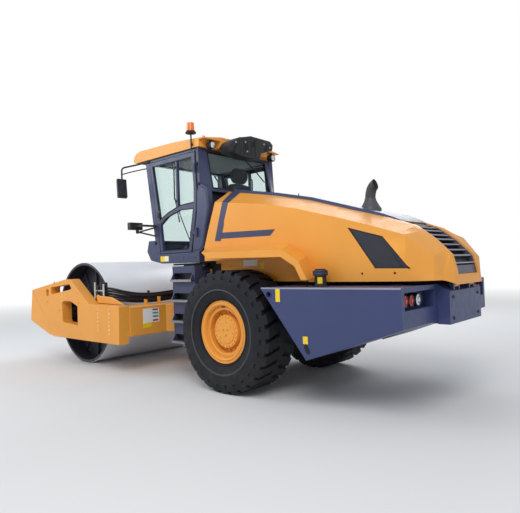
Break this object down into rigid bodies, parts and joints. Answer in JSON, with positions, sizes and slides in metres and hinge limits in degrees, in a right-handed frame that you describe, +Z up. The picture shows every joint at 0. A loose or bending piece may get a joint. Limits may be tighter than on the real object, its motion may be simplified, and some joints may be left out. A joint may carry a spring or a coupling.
{
  "type": "single-drum road roller",
  "caption": "Articulated road roller with a smooth steel drum in a front frame, a glazed cab, a sloping engine hood and two lugged tyres.",
  "frame": {"origin": "centre of the footprint of the whole machine, on the ground", "axes": "+X ahead towards the drum, +Y to the left side, +Z up"},
  "size_m": [7.42, 2.79, 3.58],
  "materials": {
    "orange_paint": "gloss paint",
    "slate_paint": "satin paint",
    "black_paint": "satin paint",
    "drum_steel": "rolled and painted steel",
    "cast_metal": "painted casting",
    "tyre_rubber": "moulded",
    "black_rubber": "matt",
    "rod_chrome": "polished",
    "tinted_glass": "tinted",
    "black_plastic": "grained",
    "seat_fabric": "woven",
    "red_lens": "moulded lens",
    "clear_lens": "moulded lens",
    "amber_lens": "moulded lens"
  },
  "bodies": {
    "rear_frame": {"rear_chassis": "black_paint", "rear_axle": "cast_metal", "side_box_left": "slate_paint", "side_box_right": "slate_paint", "tail_lamps": "red_lens", "counterweight": "slate_paint", "engine_block": "cast_metal", "radiator": "cast_metal", "cab_base": "slate_paint", "cab_frame": "slate_paint", "cab_roof": "orange_paint", "windscreen": "tinted_glass", "rear_window": "tinted_glass", "seat": "seat_fabric", "cab_console": "black_plastic", "steering_wheel": "black_plastic", "ladders": "slate_paint", "mirrors": "black_plastic", "beacon": "amber_lens", "air_conditioner": "black_plastic", "work_lamps": "clear_lens"},
    "centre_joint": {"centre_joint": "cast_metal"},
    "front_frame": {"front_side_plate_left": "orange_paint", "front_side_plate_right": "orange_paint", "rear_crossbeam": "orange_paint", "front_crossbeam": "orange_paint", "drum_scrapers": "black_paint", "drum_mounts": "black_paint", "hose_bundle": "black_rubber", "hose_brackets": "black_paint"},
    "drum": {"drum": "drum_steel"},
    "wheel_left": {"wheel_rim_left": "orange_paint", "tyre_left": "tyre_rubber"},
    "wheel_right": {"wheel_rim_right": "orange_paint", "tyre_right": "tyre_rubber"},
    "hood": {"hood_shell": "orange_paint", "hood_grille": "black_paint", "hood_meshes": "black_paint", "exhaust_stub": "slate_paint"},
    "door_left": {"door_left": "slate_paint", "door_glass_left": "tinted_glass"},
    "door_right": {"door_right": "slate_paint", "door_glass_right": "tinted_glass"},
    "steering_barrel_left": {"steering_barrel_left": "black_paint"},
    "steering_rod_left": {"steering_rod_left": "rod_chrome"},
    "steering_barrel_right": {"steering_barrel_right": "black_paint"},
    "steering_rod_right": {"steering_rod_right": "rod_chrome"}
  },
  "joints": [
    {"name": "steer", "type": "hinge", "parent": "rear_frame", "child": "centre_joint", "pos_m": [0.415, 0, 0.75], "axis": [0, 0, 1], "range_deg": [-35, 35]},
    {"name": "oscillate", "type": "hinge", "parent": "centre_joint", "child": "front_frame", "pos_m": [0.665, 0, 0.75], "axis": [1, 0, 0], "range_deg": [-10, 10]},
    {"name": "drum_spin", "type": "hinge", "parent": "front_frame", "child": "drum", "pos_m": [2.43, 0, 0.855], "axis": [0, 1, 0], "continuous": true},
    {"name": "wheel_left_spin", "type": "hinge", "parent": "rear_frame", "child": "wheel_left", "pos_m": [-1.135, 0.937, 0.755], "axis": [0, 1, 0], "continuous": true},
    {"name": "wheel_right_spin", "type": "hinge", "parent": "rear_frame", "child": "wheel_right", "pos_m": [-1.135, -0.937, 0.755], "axis": [0, 1, 0], "continuous": true},
    {"name": "hood_tilt", "type": "hinge", "parent": "rear_frame", "child": "hood", "pos_m": [-3.63, 0, 1.281], "axis": [0, -1, 0], "range_deg": [0, 45]},
    {"name": "door_left_swing", "type": "hinge", "parent": "rear_frame", "child": "door_left", "pos_m": [-0.313, 0.832, 2.5], "axis": [0, 0, 1], "range_deg": [0, 85]},
    {"name": "door_right_swing", "type": "hinge", "parent": "rear_frame", "child": "door_right", "pos_m": [-0.313, -0.832, 2.5], "axis": [0, 0, -1], "range_deg": [0, 85]},
    {"name": "barrel_left_swing", "type": "hinge", "parent": "rear_frame", "child": "steering_barrel_left", "pos_m": [-0.345, 0.27, 0.61], "axis": [0, 0, 1], "range_deg": [-6, 6]},
    {"name": "rod_left_slide", "type": "slide", "parent": "steering_barrel_left", "child": "steering_rod_left", "axis": [1, 0, 0], "range_m": [-0.16, 0.16]},
    {"name": "barrel_right_swing", "type": "hinge", "parent": "rear_frame", "child": "steering_barrel_right", "pos_m": [-0.345, -0.27, 0.61], "axis": [0, 0, 1], "range_deg": [-6, 6]},
    {"name": "rod_right_slide", "type": "slide", "parent": "steering_barrel_right", "child": "steering_rod_right", "axis": [1, 0, 0], "range_m": [-0.16, 0.16]}
  ],
  "couplings": [
    {"joint": "barrel_left_swing", "follows": "steer", "ratio": 0.068},
    {"joint": "rod_left_slide", "follows": "steer", "m_per_rad": -0.2563},
    {"joint": "barrel_right_swing", "follows": "steer", "ratio": 0.068},
    {"joint": "rod_right_slide", "follows": "steer", "m_per_rad": 0.2563}
  ]
}
